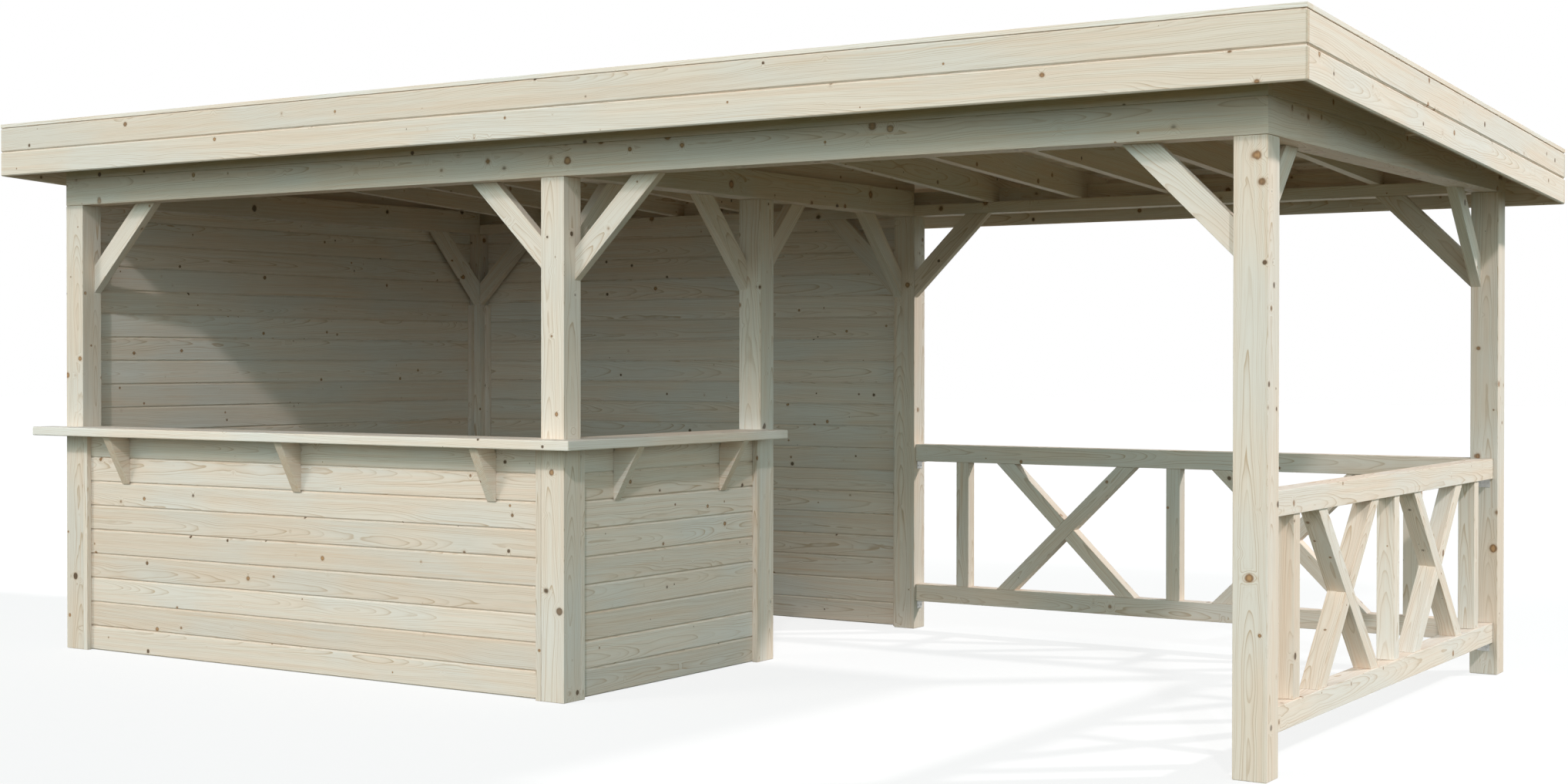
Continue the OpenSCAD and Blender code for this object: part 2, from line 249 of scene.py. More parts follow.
def figure(piece, along, across, knotty=1.0, cast=None):
    """Cuts the stick out of its own log: square sticks hold the heart, boards are sawn beside it."""
    log_run, off_heart, off_board, palest = 12, 0.7, 1.2, 0.25
    squarish, nearest, farthest, end_facing = 1.6, 0.010, 0.060, 0.6
    x, y = Vector(along).normalized(), Vector(across).normalized()
    axes = np.array([x, y, x.cross(y)])
    points = np.empty(len(piece.data.vertices) * 3)
    piece.data.vertices.foreach_get("co", points)
    local = points.reshape(-1, 3) @ axes.T
    local -= (local.min(0) + local.max(0)) / 2
    half = local.max(0)
    if half[1] < squarish * half[2]:
        heart = (lot.uniform(-log_run, log_run), lot.uniform(-off_heart, off_heart) * half[1],
                 lot.uniform(-off_heart, off_heart) * half[2])
    else:
        beside = lot.choice((-1, 1)) * (half[2] + lot.uniform(nearest, farthest))
        heart = (lot.uniform(-log_run, log_run), lot.uniform(-off_board, off_board) * half[1], beside)
    grain = piece.data.attributes.new("grain", "FLOAT_VECTOR", "POINT")
    grain.data.foreach_set("vector", (local + heart).ravel())
    tone = lot.uniform(palest, 1) if cast is None else cast
    for word, value in (("tone", tone), ("knotty", knotty)):
        same = piece.data.attributes.new(word, "FLOAT", "POINT")
        same.data.foreach_set("value", [value] * len(local))
    ends = piece.data.attributes.new("end_wood", "FLOAT", "FACE")
    sawn = [float(abs(face.normal.dot(x)) > end_facing) for face in piece.data.polygons]
    ends.data.foreach_set("value", sawn)
    return piece


def fit(piece, at, along, across, knotty=1.0, cast=None):
    """Sets a stick down in its place and cuts it out of its log."""
    return figure(set_down(piece, at, along, across), along, across, knotty, cast)


def show(name, pieces, *nodes, finish=spruce, slot="spruce"):
    """Makes one shown piece of like ones, on the fixed body, in place of its CAD nodes."""
    on_bench(*pieces)
    if len(pieces) > 1:
        bpy.ops.object.join()
    whole = bpy.context.object
    whole.name = whole.data.name = name
    whole.data.materials.clear()
    whole.data.materials.append(finish)
    bpy.ops.object.shade_smooth_by_angle(angle=ROUNDED)
    flats = whole.modifiers.new("level flats", "WEIGHTED_NORMAL")
    flats.keep_sharp, flats.weight = True, 100
    bpy.ops.object.modifier_apply(modifier=flats.name)
    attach(whole, "root")
    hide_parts(*nodes)


post_low, post_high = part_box("post_front_left")
post_w, post_h = post_high.x - post_low.x, post_high.z
post_stick = ease(stick(post_h, post_w, post_w), POST_EASE)
for name, node in POSTS.items():
    low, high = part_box(node)
    middle = (low + high) / 2
    post = fit(twin(post_stick), (middle.x, middle.y, 0), (0, 0, 1), (1, 0, 0), POST_KNOTS)
    show(name, [post], node)
bpy.data.objects.remove(post_stick)

# Beams: planed spruce on edge over the posts. The front beam meets the side beams in mitres.
# The back beam has a planed ledge in front of its upright part, on which the rafters sit.
BEAM_EASE, BEAM_KNOTS = 0.0035, 1.35
LEDGE, UPRIGHT = 0.057, 0.045
hx, hy, hp = -post_low.x, -post_low.y, post_w / 2


def saw(piece, at, away):
    """Saws off what lies beyond a plane and closes the cut."""
    on_bench(piece)
    bpy.ops.object.mode_set(mode="EDIT")
    bpy.ops.mesh.select_all(action="SELECT")
    bpy.ops.mesh.bisect(plane_co=at, plane_no=away, use_fill=True, clear_outer=True)
    bpy.ops.object.mode_set(mode="OBJECT")
    return piece


def pick(piece, wanted):
    """Opens a piece with the faces selected for which wanted(centre, normal) holds."""
    on_bench(piece)
    bpy.ops.object.mode_set(mode="EDIT")
    bpy.ops.mesh.select_mode(type="FACE")
    bpy.ops.mesh.select_all(action="DESELECT")
    bpy.ops.object.mode_set(mode="OBJECT")
    for face in piece.data.polygons:
        face.select = wanted(face.center, face.normal)
    bpy.ops.object.mode_set(mode="EDIT")


def score(piece, at, way):
    """Marks a line round a piece where a plane meets it, with nothing removed."""
    on_bench(piece)
    bpy.ops.object.mode_set(mode="EDIT")
    bpy.ops.mesh.select_all(action="SELECT")
    bpy.ops.mesh.bisect(plane_co=at, plane_no=way)
    bpy.ops.object.mode_set(mode="OBJECT")
    return piece


def pull(piece, wanted, step):
    """Draws the wanted faces out of a piece, or into it, by a step."""
    pick(piece, wanted)
    bpy.ops.mesh.extrude_region_move(TRANSFORM_OT_translate={"value": step})
    bpy.ops.object.mode_set(mode="OBJECT")
    return piece


right_corner, left_corner = (hx, -hy, 0), (-hx, -hy, 0)
front_mitres = ((right_corner, (1, 1, 0)), (left_corner, (-1, 1, 0)))
for name, node, mitres in (("front_beam", "beam_front", front_mitres),
                           ("left_beam", "beam_left", ((left_corner, (1, -1, 0)),)),
                           ("right_beam", "beam_right", ((right_corner, (-1, -1, 0)),)),
                           ("middle_beam", "beam_middle", ())):
    low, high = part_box(node)
    size, middle = high - low, (low + high) / 2
    along, across = ((1, 0, 0), (0, 1, 0)) if size.x > size.y else ((0, 1, 0), (-1, 0, 0))
    length, width = max(size.x, size.y), min(size.x, size.y)
    start = (low.x, middle.y, middle.z) if size.x > size.y else (middle.x, low.y, middle.z)
    beam = set_down(ease(stick(length, width, size.z), BEAM_EASE), start, along, across)
    for corner, away in mitres:
        saw(beam, corner, away)
    show(name, [figure(beam, along, across, BEAM_KNOTS)], node)
low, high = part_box("beam_back")
beam_h = high.z - low.z
back_beam = score(stick(high.x - low.x, post_w, LEDGE), (0, post_w / 2 - UPRIGHT, 0), (0, 1, 0))
pull(back_beam, lambda c, n: n.z > 0.9 and c.y > 0, (0, 0, beam_h - LEDGE))
ease(back_beam, BEAM_EASE)
fit(back_beam, (low.x, (low.y + high.y) / 2, low.z + LEDGE / 2), (1, 0, 0), (0, 1, 0), BEAM_KNOTS)
show("back_beam", [back_beam], "beam_back")

# Knee braces: short lengths of spruce plank, mitred at both ends, stiffen each post against its beams.
# They stand flush with the inner faces of the posts.
BRACE_W, BRACE_EASE = 0.095, 0.003
low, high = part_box("braces_left")
brace_leg, brace_t = high.z - low.z, high.x - low.x
brace_l = brace_leg * math.sqrt(2)
brace = stick(brace_l, BRACE_W, brace_t)
saw(brace, (0, -BRACE_W / 2, 0), (-1, 1, 0))
saw(brace, (brace_l, -BRACE_W / 2, 0), (1, 1, 0))
ease(brace, BRACE_EASE)


def knee(x, y, way):
    """A brace that rises from a post's face at (x, y) along the given way."""
    out, up = Vector(way), Vector((0, 0, 1))
    foot = Vector((x, y, post_h - brace_leg)) + (up - out).normalized() * BRACE_W / 2
    return fit(twin(brace), foot, out + up, up - out)


bay_posts = [(-hx + post_w, 1), (-hp, -1), (hp, 1), (hx - post_w, -1)]
side_posts = [(-hy + post_w, 1), (-hp, -1), (hp, 1), (hy - post_w, -1)]
corner_posts = [side_posts[0], side_posts[-1]]
inset = post_w - brace_t / 2
show("front_braces", [knee(x, -hy + inset, (d, 0, 0)) for x, d in bay_posts], "braces_front")
show("back_braces", [knee(x, hy - inset, (d, 0, 0)) for x, d in bay_posts], "braces_back")
show("left_brace", [knee(-hx + inset, hy - post_w, (0, -1, 0))], "braces_left")
show("middle_braces", [knee(-hp + brace_t / 2, y, (0, d, 0)) for y, d in side_posts], "braces_middle")
show("right_braces", [knee(hx - inset, y, (0, d, 0)) for y, d in corner_posts], "braces_right")
bpy.data.objects.remove(brace)

# Roof bearers: a spruce riser on the front beam and three tapered boards give the flat roof its fall.
# The rafters lie on the riser and are notched over the back beam. A nogging holds each side overhang.
FALL, RAFTER_T, RAFTERS, RAFTER_EASE = math.radians(2.9), 0.045, 5, 0.0025
fall = math.tan(FALL)
slope_along = Vector((0, math.cos(FALL), -math.sin(FALL)))
slope_up = Vector((0, math.sin(FALL), math.cos(FALL)))


def block(low, high):
    """A squared block between two corners, set along X."""
    low, high = Vector(low), Vector(high)
    size, middle = high - low, (low + high) / 2
    return set_down(stick(size.x, size.y, size.z), (low.x, middle.y, middle.z), (1, 0, 0), (0, 1, 0))


def notch(piece, cutter):
    """Cuts out of a piece the room that another one takes."""
    on_bench(piece)
    cut = piece.modifiers.new("notch", "BOOLEAN")
    cut.operation, cut.object, cut.solver = "DIFFERENCE", cutter, "EXACT"
    bpy.ops.object.modifier_apply(modifier=cut.name)
    return piece


low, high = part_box("rafters")
deck_low, deck_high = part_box("roof_deck")
deck_t = (deck_high.z - deck_low.z) - fall * (deck_high.y - deck_low.y)
deck_z = deck_low.z + fall * deck_high.y
rafter_h = (high.z - low.z) - fall * (high.y - low.y)
raft_z = deck_z - rafter_h
beam_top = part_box("beam_front")[1].z

low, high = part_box("roof_riser")
riser = saw(block(low, high), (0, 0, raft_z), slope_up)
show("front_riser", [figure(ease(riser, RAFTER_EASE), (1, 0, 0), (0, 1, 0))], "roof_riser")

low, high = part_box("roof_wedges")
wedges = []
for x in (low.x, -RAFTER_T / 2, high.x - RAFTER_T):
    wedge = saw(block((x, low.y, low.z), (x + RAFTER_T, high.y, high.z)), (0, 0, deck_z), slope_up)
    wedges.append(figure(ease(wedge, RAFTER_EASE, along=slope_along), (0, 1, 0), (0, 0, 1)))
show("roof_wedge_boards", wedges, "roof_wedges")

low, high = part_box("rafters")
rafter_run = (high.y - low.y) / math.cos(FALL)
overlong = rafter_h * fall
upright = block((-RAFTER_T, hy - UPRIGHT, beam_top - beam_h), (RAFTER_T, hy, beam_top))
rafter = stick(rafter_run + 2 * overlong, rafter_h * math.cos(FALL), RAFTER_T)
front_end = Vector((0, low.y, raft_z + rafter_h / 2 - fall * low.y))
set_down(rafter, front_end - slope_along * overlong, slope_along, slope_up)
saw(rafter, low, (0, -1, 0))
saw(rafter, high, (0, 1, 0))
notch(rafter, upright)
ease(rafter, RAFTER_EASE, along=slope_along)
rafter_pitch = (high.x - RAFTER_T / 2) / RAFTERS
joists = []
for k in [*range(-RAFTERS, 0), *range(1, RAFTERS + 1)]:
    one = twin(rafter)
    one.location.x = k * rafter_pitch
    bpy.ops.object.transform_apply(location=True, rotation=True, scale=True)
    joists.append(figure(one, slope_along, slope_up))
show("rafter_joists", joists, "rafters")
bpy.data.objects.remove(rafter)
bpy.data.objects.remove(upright)

low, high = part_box("overhang_noggings")
noggings = []
for x0, x1 in ((low.x, -hx), (hx, high.x)):
    nogging = saw(block((x0, low.y, low.z), (x1, high.y, high.z)), (0, 0, deck_z), slope_up)
    noggings.append(figure(ease(nogging, RAFTER_EASE), (1, 0, 0), (0, 0, 1)))
show("eaves_noggings", noggings, "overhang_noggings")

# Roof boards: tongued and grooved spruce, nailed across the rafters course by course down the slope.
# Their chamfered edges leave a V at each joint, which shows from below.
COURSE, VEE, SHOULDER_GAP = 0.118, 0.0055, 0.003
TONGUE_T, TONGUE_D, GROOVE_D = 0.005, 0.0065, 0.0075


def tongued_board(length, thick):
    """A board with chamfered long edges, a tongue on its upper edge and a groove in its lower one."""
    board = ease(stick(length, COURSE - SHOULDER_GAP, thick), VEE, 1)
    for side in (-1, 1):
        score(board, (0, 0, side * TONGUE_T / 2), (0, 0, 1))
    pull(board, lambda c, n: n.y > 0.9 and abs(c.z) < TONGUE_T / 2, (0, TONGUE_D, 0))
    pull(board, lambda c, n: n.y < -0.9 and abs(c.z) < TONGUE_T / 2, (0, GROOVE_D, 0))
    return board


roof_board = tongued_board(deck_high.x - deck_low.x, deck_t * math.cos(FALL))
courses = []
roof_run = (deck_high.y - deck_low.y) / math.cos(FALL)
for k in range(math.ceil(roof_run / COURSE)):
    middle_y = deck_low.y + (k + 0.5) * COURSE * math.cos(FALL)
    at = Vector((deck_low.x, middle_y, deck_z + deck_t / 2 - fall * middle_y))
    board = set_down(twin(roof_board), at, (1, 0, 0), -slope_along)
    if (k + 1) * COURSE + TONGUE_D > roof_run:
        saw(board, deck_high, (0, 1, 0))
    if k == 0:
        saw(board, deck_low, (0, -1, 0))
    courses.append(figure(board, (1, 0, 0), -slope_along))
show("roof_boards", courses, "roof_deck")
bpy.data.objects.remove(roof_board)

# Fascia: two of the same boards, one above the other, close the roof's edge on all four sides.
# The front and back ones lap over the ends of the side ones, and the lowest groove shows from below.
FASCIA_KNOTS, UPPER_CAST, LOWER_CAST = 0.8, 0.82, 0.64
fascia_low, fascia_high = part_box("fascia_front")
fascia_t = fascia_high.y - fascia_low.y
edge_z = deck_z + deck_t
rx, ry = cad_high.x, cad_high.y

long_board = tongued_board(2 * rx, fascia_t)
for name, node, y in (("front_fascia", "fascia_front", -ry + fascia_t / 2),
                      ("back_fascia", "fascia_back", ry - fascia_t / 2)):
    top = edge_z - fall * y
    boards = []
    for drop, cast in ((0, UPPER_CAST), (COURSE, LOWER_CAST)):
        start = (-rx, y, top - COURSE / 2 - drop)
        boards.append(fit(twin(long_board), start, (1, 0, 0), (0, 0, 1), FASCIA_KNOTS, cast))
    show(name, boards, node)
bpy.data.objects.remove(long_board)

side_y = ry - fascia_t
side_extra = COURSE * fall
side_board = tongued_board(2 * side_y / math.cos(FALL) + 2 * side_extra, fascia_t)
for name, node, x in (("left_fascia", "fascia_left", -rx + fascia_t / 2),
                      ("right_fascia", "fascia_right", rx - fascia_t / 2)):
    boards = []
    for drop in (0, COURSE):
        start = Vector((x, -side_y, edge_z - COURSE / 2 - drop + fall * side_y))
        board = set_down(twin(side_board), start - slope_along * side_extra, slope_along, slope_up)
        saw(board, (0, -side_y, 0), (0, -1, 0))
        saw(board, (0, side_y, 0), (0, 1, 0))
        boards.append(figure(board, slope_along, slope_up))
    show(name, boards, node)
bpy.data.objects.remove(side_board)

# Cap strips: planed laths nailed on the roof's edge cover the ends of the boards.
# The long ones run through, and the side ones fit between them.
CAP_EASE, CAP_KNOTS, CAP_CAST = 0.002, 0.5, 0.25
cap_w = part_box("cap_strips_long")[1].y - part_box("cap_strips_side")[1].y
cap_h = cad_high.z - (edge_z + fall * ry)
cap_z = edge_z + cap_h / 2
cap = ease(stick(2 * rx, cap_w, cap_h), CAP_EASE)
strips = []
for y in (-ry + cap_w / 2, ry - cap_w / 2):
    at = (-rx, y, cap_z - fall * y)
    strips.append(fit(twin(cap), at, (1, 0, 0), slope_along, CAP_KNOTS, CAP_CAST))
show("long_cap_strips", strips, "cap_strips_long")
bpy.data.objects.remove(cap)
cap_y = ry - cap_w
side_cap = ease(stick(2 * cap_y / math.cos(FALL), cap_w, cap_h), CAP_EASE)
strips = []
for x in (-rx + cap_w / 2, rx - cap_w / 2):
    at = (x, -cap_y, cap_z + fall * cap_y)
    strips.append(fit(twin(side_cap), at, slope_along, (-1, 0, 0), CAP_KNOTS, CAP_CAST))
show("side_cap_strips", strips, "cap_strips_side")
bpy.data.objects.remove(side_cap)

# Walls: tongued and grooved spruce boards stand on edge between the posts, course on course.
# The lowest stands on its groove edge, and the highest is ripped to fit under the beam or the counter.
WALL_KNOTS = 0.75


def boarding(name, node):
    """The boards of one wall, laid from the ground up."""
    low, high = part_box(node)
    size, middle = high - low, (low + high) / 2
    lengthwise = size.x > size.y
    along = (1, 0, 0) if lengthwise else (0, 1, 0)
    start = Vector((low.x, middle.y, 0)) if lengthwise else Vector((middle.x, low.y, 0))
    pattern = tongued_board(max(size.x, size.y), min(size.x, size.y))
    boards = []
    for k in range(math.ceil(high.z / COURSE)):
        board = set_down(twin(pattern), start + Vector((0, 0, (k + 0.5) * COURSE)), along, (0, 0, 1))
        if (k + 1) * COURSE + TONGUE_D > high.z:
            saw(board, high, (0, 0, 1))
        boards.append(figure(board, along, (0, 0, 1), WALL_KNOTS))
    bpy.data.objects.remove(pattern)
    show(name, boards, node)


for name, node in {"left_wall_boards": "wall_left", "back_wall_boards": "wall_back",
                   "bar_front_boards": "wall_bar_front", "bar_side_boards": "wall_bar_side"}.items():
    boarding(name, node)

# Battens: square spruce sticks nailed to the posts hold the ends of the wall boards on both faces.
# The inner ones of the high walls stop under the braces.
BATTEN, BATTEN_EASE = 0.028, 0.002
wall_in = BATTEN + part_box("wall_back")[1].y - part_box("wall_back")[0].y
bar_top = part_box("wall_bar_front")[1].z
uprights = []
for x in (-hx + post_w, -hp - BATTEN):
    uprights += [(x, -hy, bar_top), (x, -hy + wall_in, bar_top), (x, hy - BATTEN, post_h),
                 (x, hy - wall_in - BATTEN, post_h - brace_leg)]
for y in (-hy + post_w, hy - post_w - BATTEN):
    uprights += [(-hx, y, post_h), (-hx + wall_in, y, post_h - brace_leg)]
for y in (-hy + post_w, -hp - BATTEN):
    uprights += [(hp - BATTEN, y, bar_top), (hp - wall_in - BATTEN, y, bar_top)]
battens = []
for x, y, height in uprights:
    lath = ease(stick(height, BATTEN, BATTEN), BATTEN_EASE)
    battens.append(fit(lath, (x + BATTEN / 2, y + BATTEN / 2, 0), (0, 0, 1), (1, 0, 0)))
show("wall_corner_battens", battens, "wall_battens")

# Counter: two thick spruce planks lie on the bar walls, let in between the posts.
# They are mitred at the corner, and their edges are rounded over.
COUNTER_EASE, COUNTER_KNOTS = 0.006, 0.8
FRONT_CAST, SIDE_CAST = 0.0, 0.4
low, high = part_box("counter_front")
lip = -hy - low.y
plank_t = high.z - low.z
plank = stick(high.x - low.x, lip, plank_t)
set_down(plank, (low.x, -hy - lip / 2, (low.z + high.z) / 2), (1, 0, 0), (0, 1, 0))
score(plank, (-hx + post_w, 0, 0), (1, 0, 0))
score(plank, (-hp, 0, 0), (1, 0, 0))
pull(plank, lambda c, n: n.y > 0.9 and -hx + post_w < c.x < -hp, (0, post_w, 0))
side_lip = high.x - hp
ease(plank, COUNTER_EASE, 3)
saw(plank, (hp, -hy, 0), (lip, side_lip, 0))
figure(plank, (1, 0, 0), (0, 1, 0), COUNTER_KNOTS, FRONT_CAST)
show("front_counter_plank", [plank], "counter_front")

low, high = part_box("counter_side")
plank = stick(high.y - low.y, side_lip, plank_t)
set_down(plank, (hp + side_lip / 2, low.y, (low.z + high.z) / 2), (0, 1, 0), (-1, 0, 0))
score(plank, (0, -hy + post_w, 0), (0, 1, 0))
score(plank, (0, -hp, 0), (0, 1, 0))
pull(plank, lambda c, n: n.x < -0.9 and -hy + post_w < c.y < -hp, (-post_w, 0, 0))
ease(plank, COUNTER_EASE, 3, along=(0, 1, 0))
saw(plank, (hp, -hy, 0), (-lip, -side_lip, 0))
figure(plank, (0, 1, 0), (-1, 0, 0), COUNTER_KNOTS, SIDE_CAST)
show("side_counter_plank", [plank], "counter_side")

# Counter brackets: five tapered cheeks of spruce plank, screwed through the boards, hold the overhang.
# Their grain runs outwards, and the upper back corner is cut off.
BRACKET_T, BRACKET_EASE = 0.045, 0.0025
BRACKET_REACH, BRACKET_H, BRACKET_TIP = 0.135, 0.231, 0.008
CUT_W, CUT_H = 0.014, 0.026
IN_FRONT, IN_SIDE = 0.280, 0.296
cheek = stick(BRACKET_REACH, BRACKET_H, BRACKET_T)
saw(cheek, (BRACKET_TIP, -BRACKET_H / 2, 0), (BRACKET_H, -(BRACKET_REACH - BRACKET_TIP), 0))
saw(cheek, (CUT_W, BRACKET_H / 2, 0), (-CUT_H, CUT_W, 0))
ease(cheek, BRACKET_EASE, along=(BRACKET_REACH - BRACKET_TIP, BRACKET_H, 0))
middle_z = bar_top - BRACKET_H / 2
front_mid, front_half = (-hx + post_w - hp) / 2, (hx - post_w - hp) / 2
side_mid, side_half = (-hy + post_w - hp) / 2, (hy - post_w - hp) / 2
spots = []
for k in (-1, 0, 1):
    spots.append(((front_mid + k * (front_half - IN_FRONT), -hy + BATTEN, middle_z), (0, -1, 0)))
for k in (-1, 1):
    spots.append(((hp - BATTEN, side_mid + k * (side_half - IN_SIDE), middle_z), (1, 0, 0)))
cheeks = [fit(twin(cheek), at, out, (0, 0, 1)) for at, out in spots]
show("counter_bracket_cheeks", cheeks, "counter_brackets")
bpy.data.objects.remove(cheek)

# Railings: two spruce rails between posts, three square balusters, and two crosses of bars.
# The bars of a cross are halved where they meet and mitred to the rails.
# One railing closes the back of the open bay and one its right side.
RAIL_H, RAIL_EASE = 0.090, 0.003
BALUSTER, BALUSTER_IN, BAR_W, BAR_T = 0.070, 0.268, 0.070, 0.070
low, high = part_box("railing_back_rails")
rail_t, rail_top, rail_low = high.y - low.y, high.z, low.z
gap_low, gap_high = rail_low + RAIL_H, rail_top - RAIL_H
rise = gap_high - gap_low
RAILING_SPANS = {"back": ((hp, hy - hp, 0), (1, 0, 0), (0, 1, 0), hx - post_w - hp),
                 "right": ((hx - hp, -hy + post_w, 0), (0, 1, 0), (1, 0, 0), 2 * hy - 2 * post_w)}


def railing(word, start, along, outward, length):
    """The wooden pieces of one railing, from a post's face along to the next post's face."""
    start, along, up = Vector(start), Vector(along), Vector((0, 0, 1))
    halved_side = 1 if along.cross(up).dot(outward) > 0 else -1
    across = up.cross(along)
    rail = ease(stick(length, rail_t, RAIL_H), RAIL_EASE)
    rails = [fit(twin(rail), start + up * (z + RAIL_H / 2), along, across)
             for z in (rail_low, rail_top - RAIL_H)]
    show(word + "_rails", rails, "railing_" + word + "_rails")
    bpy.data.objects.remove(rail)
    baluster = ease(stick(rise, BALUSTER, BALUSTER), RAIL_EASE)
    sticks = [fit(twin(baluster), start + along * x + up * gap_low, up, along)
              for x in (BALUSTER_IN, length / 2, length - BALUSTER_IN)]
    show(word + "_balusters", sticks, "railing_" + word + "_balusters")
    bpy.data.objects.remove(baluster)
    bar_l = rise * math.sqrt(2) + BAR_W
    for kind, d in (("rising", 1), ("falling", -1)):
        bar = stick(bar_l, BAR_W, BAR_T)
        saw(bar, (BAR_W / 2, 0, 0), (-1, -1, 0))
        saw(bar, (bar_l - BAR_W / 2, 0, 0), (1, 1, 0))
        other = stick(2 * BAR_W, BAR_W, BAR_T)
        set_down(other, (bar_l / 2, -BAR_W, halved_side * BAR_T / 2), (0, 1, 0), (-1, 0, 0))
        notch(bar, other)
        bpy.data.objects.remove(other)
        ease(bar, RAIL_EASE)
        bars = []
        for x in ((BALUSTER_IN + length / 2) / 2, length - (BALUSTER_IN + length / 2) / 2):
            way = (along * d + up).normalized()
            foot = start + along * x + up * (gap_low + gap_high) / 2 - way * bar_l / 2
            bars.append(fit(twin(bar), foot, way, up - along * d))
        show(word + "_" + kind + "_bars", bars, "railing_" + word + "_" + kind + "_bars")
        bpy.data.objects.remove(bar)


for word, span in RAILING_SPANS.items():
    railing(word, *span)

# Rail angles: pressed and galvanised steel angles under each rail's ends fix the railings to the posts.
# Each has two screws in each leg.
ANGLE_LEG, ANGLE_W, ANGLE_T, ANGLE_EASE = 0.040, 0.055, 0.003, 0.0009
SCREW_R, SCREW_H, SCREW_SIDES = 0.0042, 0.0018, 16
HEAD_RIM, HEAD_DOME = SCREW_R * 0.35, SCREW_H * 0.3
DRIVE_RIM, DRIVE_DEPTH = SCREW_R * 0.28, SCREW_H * 0.5
SCREW_OUT, SCREW_OFF = ANGLE_LEG * 0.62, ANGLE_W * 0.28


def galvanised_steel():
    """Zinc with a faint mottle of grey crystals."""
    dull, bright = (0.44, 0.445, 0.43, 1), (0.57, 0.575, 0.555, 1)
    finish = new_finish("galvanised_steel")
    add = palette(finish)
    place = add("TexCoord").outputs["Object"]
    spangle = add("TexVoronoi", {"Vector": place, "Scale": 160.0}, feature="F1")
    cloud = add("TexNoise", {"Vector": place, "Scale": 60.0, "Detail": 4.0})
    shade = add("Mix", {0: spangle.outputs["Color"], 6: dull, 7: bright}, data_type="RGBA")
    rough = add("MapRange", {0: cloud.outputs["Fac"], 1: 0.3, 2: 0.7, 3: 0.46, 4: 0.62})
    bump = add("Bump", {"Strength": 0.15, "Distance": 0.0004, "Height": cloud.outputs["Fac"]})
    shader = add("BsdfPrincipled", {"Base Color": shade.outputs[2], "Roughness": rough.outputs[0],
                                    "Normal": bump.outputs[0], "Metallic": 0.9})
    add("OutputMaterial", {"Surface": shader.outputs[0]})
    return finish


zinc = galvanised_steel()
angle = stick(ANGLE_LEG, ANGLE_W, ANGLE_T)
set_down(angle, (0, 0, -ANGLE_T / 2), (1, 0, 0), (0, 1, 0))
score(angle, (ANGLE_T, 0, 0), (1, 0, 0))
pull(angle, lambda c, n: n.z < -0.9 and c.x < ANGLE_T, (0, 0, ANGLE_T - ANGLE_LEG))
ease(angle, ANGLE_EASE, along=(0, 1, 0))

bpy.ops.object.select_all(action="DESELECT")
bpy.ops.mesh.primitive_cylinder_add(vertices=SCREW_SIDES, radius=SCREW_R, depth=SCREW_H,
                                    location=(0, 0, 0))
screw = bpy.context.object
pick(screw, lambda c, n: n.z > 0.9)
bpy.ops.mesh.inset(thickness=HEAD_RIM)
bpy.ops.transform.translate(value=(0, 0, HEAD_DOME))
bpy.ops.mesh.inset(thickness=DRIVE_RIM)
bpy.ops.transform.translate(value=(0, 0, -DRIVE_DEPTH))
bpy.ops.object.mode_set(mode="OBJECT")

angles, screws = [], []
up, head_mid = Vector((0, 0, 1)), ANGLE_T + SCREW_H / 2
for start, along, _, length in RAILING_SPANS.values():
    start, along = Vector(start), Vector(along)
    for end, way in ((start, along), (start + along * length, -along)):
        across = up.cross(way)
        for z in (rail_low, rail_top - RAIL_H):
            corner = end + up * z
            angles.append(set_down(twin(angle), corner, way, across))
            for side in (-SCREW_OFF, SCREW_OFF):
                under = corner + way * SCREW_OUT + across * side - up * head_mid
                screws.append(set_down(twin(screw), under, way, -across))
                face = corner + way * head_mid + across * side - up * SCREW_OUT
                screws.append(set_down(twin(screw), face, across, up))
show("rail_angles", angles, "railing_angles", finish=zinc, slot="steel")
bpy.data.objects.remove(angle)
show("rail_angle_screws", screws, finish=zinc, slot="steel")
bpy.data.objects.remove(screw)

# Studio: a wide pale floor, white all round to the camera, and plain soft light.
# The strong sun stands behind on the right, and two weaker ones in front, on the left and on the right.
FLOOR_SIDE = 120.0
FLOOR_PAINT, FLOOR_GLOW = (0.20, 0.20, 0.20, 1), 0.80
BOUNCE_DARK, BOUNCE_PALE = (0.058, 0.062, 0.017, 1), (0.072, 0.076, 0.022, 1)
SKY_LOW, SKY_HIGH = (1.0, 1.32, 1.33, 1), (0.03, 0.04, 0.05, 1)
SKY_FRONT, SKY_BACK, DARKER_FROM, DARKER_TO = 1.32, 0.72, 0.2, 0.86
WHITE, SUN_AWAY = (1, 1, 1, 1), 10
bpy.ops.object.select_all(action="DESELECT")
bpy.ops.mesh.primitive_plane_add(size=FLOOR_SIDE, location=(0, 0, 0))
floor = bpy.context.object
floor.name = "studio_floor"
floor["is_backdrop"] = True


def seen(add):
    """One where the camera, a mirror or a pane looks, and zero where light only bounces."""
    path = add("LightPath").outputs
    shown = add("Math", {0: path["Is Camera Ray"], 1: path["Is Glossy Ray"]}, operation="MAXIMUM")
    through = path["Is Transmission Ray"]
    return add("Math", {0: shown.outputs[0], 1: through}, operation="MAXIMUM").outputs[0]


ground = new_finish("studio_floor_paint")
add = palette(ground)
speckle = add("TexNoise", {"Vector": add("TexCoord").outputs["Object"], "Scale": 30.0, "Detail": 3.0})
bounce = add("Mix", {0: speckle.outputs["Fac"], 6: BOUNCE_DARK, 7: BOUNCE_PALE}, data_type="RGBA")
paint = add("BsdfDiffuse", {"Color": FLOOR_PAINT})
glow = add("Emission", {"Color": WHITE, "Strength": FLOOR_GLOW})
white = add("AddShader", {0: paint.outputs[0], 1: glow.outputs[0]})
dull = add("BsdfDiffuse", {"Color": bounce.outputs[2]})
both = add("MixShader", {0: seen(add), 1: dull.outputs[0], 2: white.outputs[0]})
add("OutputMaterial", {"Surface": both.outputs[0]})
floor.data.materials.append(ground)

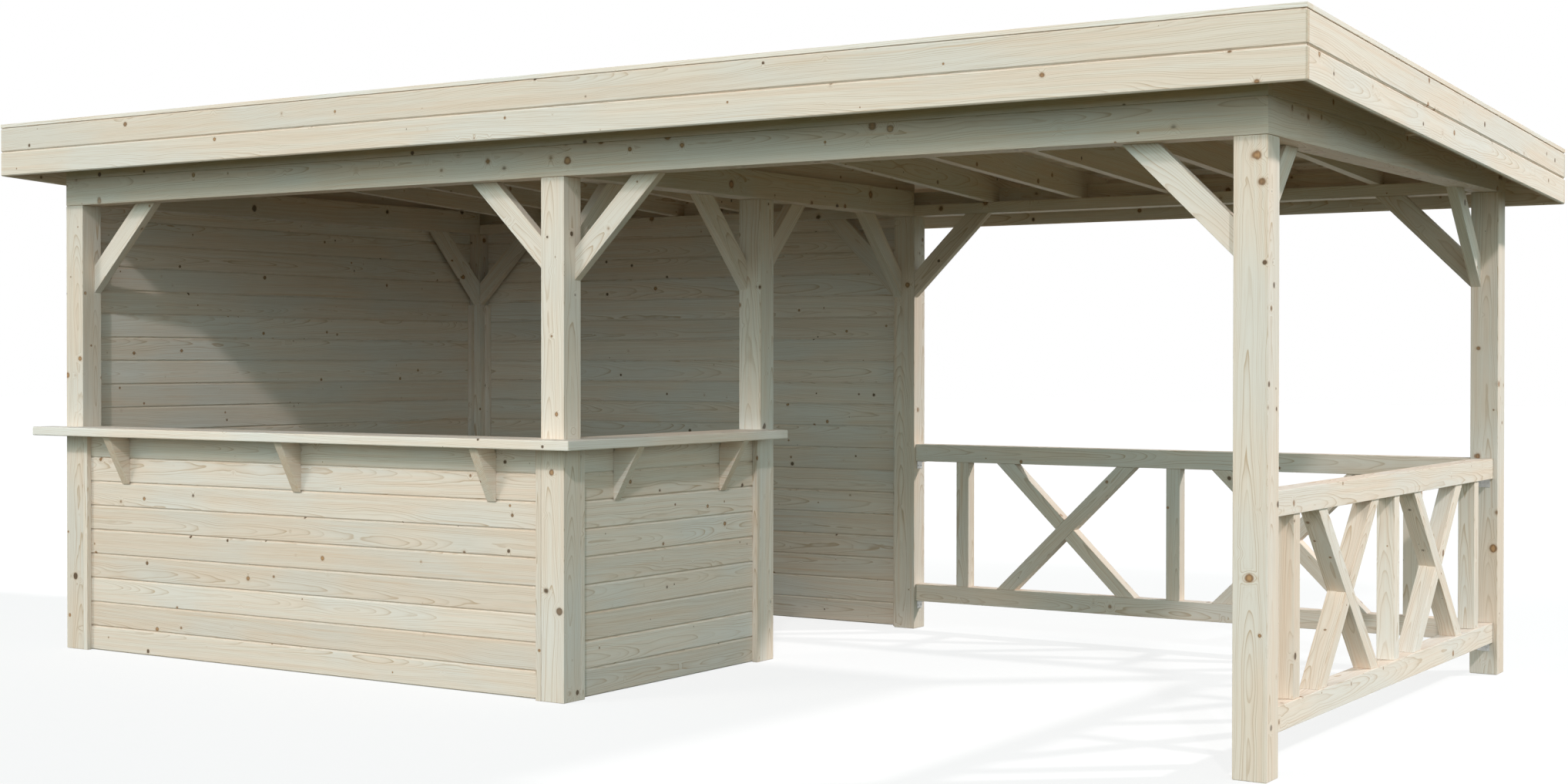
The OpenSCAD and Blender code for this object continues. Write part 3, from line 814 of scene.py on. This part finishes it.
sky = bpy.data.worlds.new("studio_sky")
bpy.context.scene.world = sky
sky.use_nodes = True
sky.node_tree.nodes.clear()
add = palette(sky)
way = add("SeparateXYZ", {0: add("TexCoord").outputs["Object"]})
height = add("MapRange", {0: way.outputs["Z"], 1: DARKER_FROM, 2: DARKER_TO},
             interpolation_type="SMOOTHSTEP")
tint = add("Mix", {0: height.outputs[0], 6: SKY_LOW, 7: SKY_HIGH}, data_type="RGBA")
front = add("MapRange", {0: way.outputs["Y"], 1: -1.0, 2: 1.0, 3: SKY_FRONT, 4: SKY_BACK})
fill = add("Background", {"Color": tint.outputs[2], "Strength": front.outputs[0]})
blank = add("Background", {"Color": WHITE, "Strength": 1.0})
air = add("MixShader", {0: seen(add), 1: fill.outputs[0], 2: blank.outputs[0]})
add("OutputWorld", {"Surface": air.outputs[0]})


def sun(name, towards, strength, colour, spread):
    """A sun that stands the given way, with the spread of its disc in degrees."""
    bpy.ops.object.select_all(action="DESELECT")
    bpy.ops.object.light_add(type="SUN", location=Vector(towards) * SUN_AWAY)
    lamp = bpy.context.object
    lamp.name = name
    lamp.rotation_euler = Vector(towards).to_track_quat("Z", "Y").to_euler()
    lamp.data.energy, lamp.data.color, lamp.data.angle = strength, colour, math.radians(spread)


sun("key_sun", (0.95, 0.86, 0.95), 2.58, (1.0, 0.96, 0.94), 3.0)
sun("left_sun", (-0.60, -1.0, 0.64), 1.02, (1.0, 0.90, 0.83), 18.0)
sun("right_sun", (0.55, -1.0, 0.685), 0.98, (0.94, 0.94, 0.96), 2.5)

# Camera: stands at eye height in front of the right corner and looks across to the bar.
# It is almost level, and its lens is shifted as the picture is framed.
EYE, DIP, TURN = (5.45131, -8.89637, 1.42653), 0.00904, 0.61892
LENS, SENSOR, SHIFT_ACROSS, SHIFT_UP, FAR = 50.377, 36.0, 0.11458, -0.00846, 500
bpy.ops.object.camera_add(location=EYE, rotation=(math.pi / 2 - DIP, 0, TURN))
camera = bpy.context.object
camera.data.lens, camera.data.sensor_width = LENS, SENSOR
camera.data.shift_x, camera.data.shift_y = SHIFT_ACROSS, SHIFT_UP
camera.data.clip_end = FAR
bpy.context.scene.camera = camera
bpy.context.scene.view_settings.view_transform = "Standard"

low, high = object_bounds()
